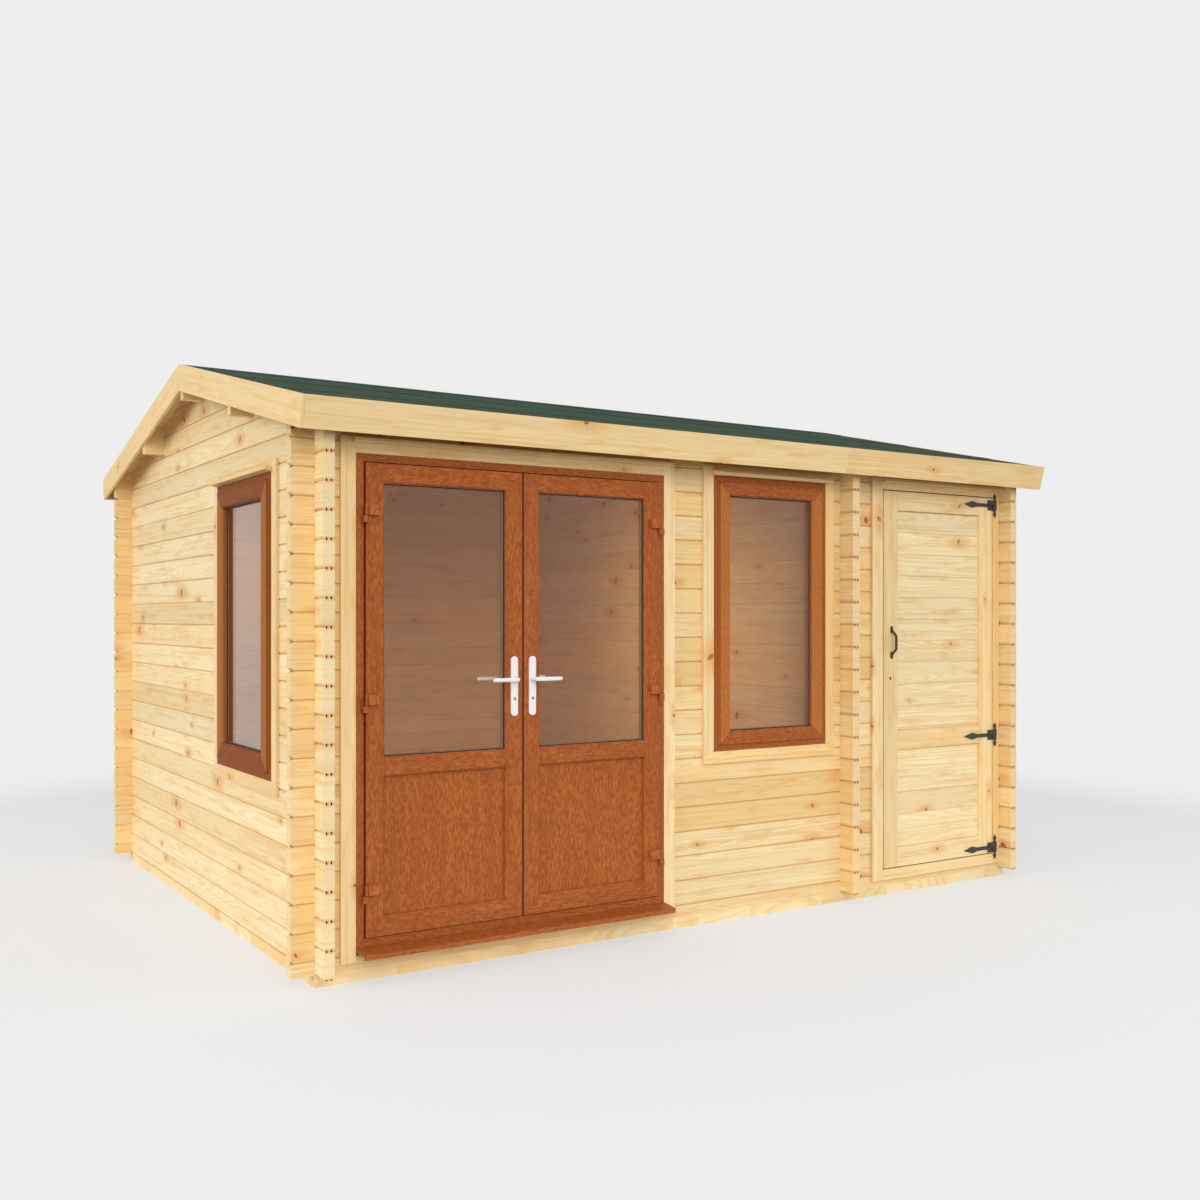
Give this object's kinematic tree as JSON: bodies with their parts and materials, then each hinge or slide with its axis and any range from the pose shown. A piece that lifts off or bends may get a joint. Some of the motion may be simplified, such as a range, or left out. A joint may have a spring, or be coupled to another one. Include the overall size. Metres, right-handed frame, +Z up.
{
  "type": "log_cabin",
  "caption": "Garden log cabin in 44 mm pine logs with golden oak double doors, two windows, a store with its own boarded door and a green felt apex roof",
  "frame": {"origin": "middle of the footprint over the wall faces, on the ground", "axes": "+X along the front wall to the right, +Y through the front wall into the cabin, +Z up"},
  "size_m": [4.016, 3.31, 2.5331],
  "materials": {
    "logs": "planed pine logs, untreated",
    "planed_trim": "planed pine trims, fascia, barge boards and store door",
    "floor_timber": "planed spruce floor and roof boards",
    "bearer_timber": "pressure treated bearers and joists",
    "golden_oak_upvc": "golden oak foil on uPVC",
    "glass": "clear sealed units",
    "white_handles": "white powder coat",
    "black_iron": "black japanned iron",
    "green_felt": "green mineral roofing felt"
  },
  "bodies": {
    "cabin": {"barge_boards": "planed_trim", "bearers": "bearer_timber", "door_frame": "golden_oak_upvc", "door_sill": "golden_oak_upvc", "door_trim": "planed_trim", "fascia_boards": "planed_trim", "floor_joists": "bearer_timber", "front_roof_boards": "floor_timber", "front_wall_base": "logs", "front_wall_centre": "logs", "front_wall_left": "logs", "front_wall_partition_bay": "logs", "front_wall_right": "logs", "front_wall_top": "logs", "front_wall_under_window": "logs", "front_window": "golden_oak_upvc", "left_wall_front": "logs", "left_wall_rear": "logs", "left_wall_top": "logs", "left_wall_under_window": "logs", "main_floor": "floor_timber", "partition_wall": "logs", "purlins": "planed_trim", "rear_roof_boards": "floor_timber", "rear_wall": "logs", "right_wall": "logs", "roof_felt": "green_felt", "side_window": "golden_oak_upvc", "store_door_frame": "planed_trim", "store_door_trim": "planed_trim", "store_floor": "floor_timber", "store_hinge_plates": "black_iron", "window_glass": "glass", "window_trims": "planed_trim"},
    "left_leaf": {"left_leaf": "golden_oak_upvc", "left_leaf_glass": "glass", "left_handle_plates": "white_handles"},
    "right_leaf": {"right_leaf": "golden_oak_upvc", "right_leaf_glass": "glass", "right_handle_plates": "white_handles"},
    "left_lever": {"left_lever": "white_handles"},
    "right_lever": {"right_lever": "white_handles"},
    "store_door": {"store_door_leaf": "planed_trim", "store_hinge_straps": "black_iron", "store_door_pull": "black_iron"}
  },
  "joints": [
    {"name": "left_leaf_hinge", "type": "hinge", "parent": "cabin", "child": "left_leaf", "pos_m": [-1.7065, -1.513, 1.041], "axis": [0, 0, -1], "range_deg": [0, 100]},
    {"name": "right_leaf_hinge", "type": "hinge", "parent": "cabin", "child": "right_leaf", "pos_m": [-0.3575, -1.513, 1.041], "axis": [0, 0, 1], "range_deg": [0, 100]},
    {"name": "left_lever_turn", "type": "hinge", "parent": "left_leaf", "child": "left_lever", "pos_m": [-1.07363, -1.503, 1.1165], "axis": [0, -1, 0], "range_deg": [0, 40], "stiffness_Nm_per_rad": 1.5},
    {"name": "right_lever_turn", "type": "hinge", "parent": "right_leaf", "child": "right_lever", "pos_m": [-0.99037, -1.503, 1.1165], "axis": [0, 1, 0], "range_deg": [0, 40], "stiffness_Nm_per_rad": 1.5},
    {"name": "store_door_hinge", "type": "hinge", "parent": "cabin", "child": "store_door", "pos_m": [1.7975, -1.497, 0.7485], "axis": [0, 0, 1], "range_deg": [0, 100]}
  ]
}
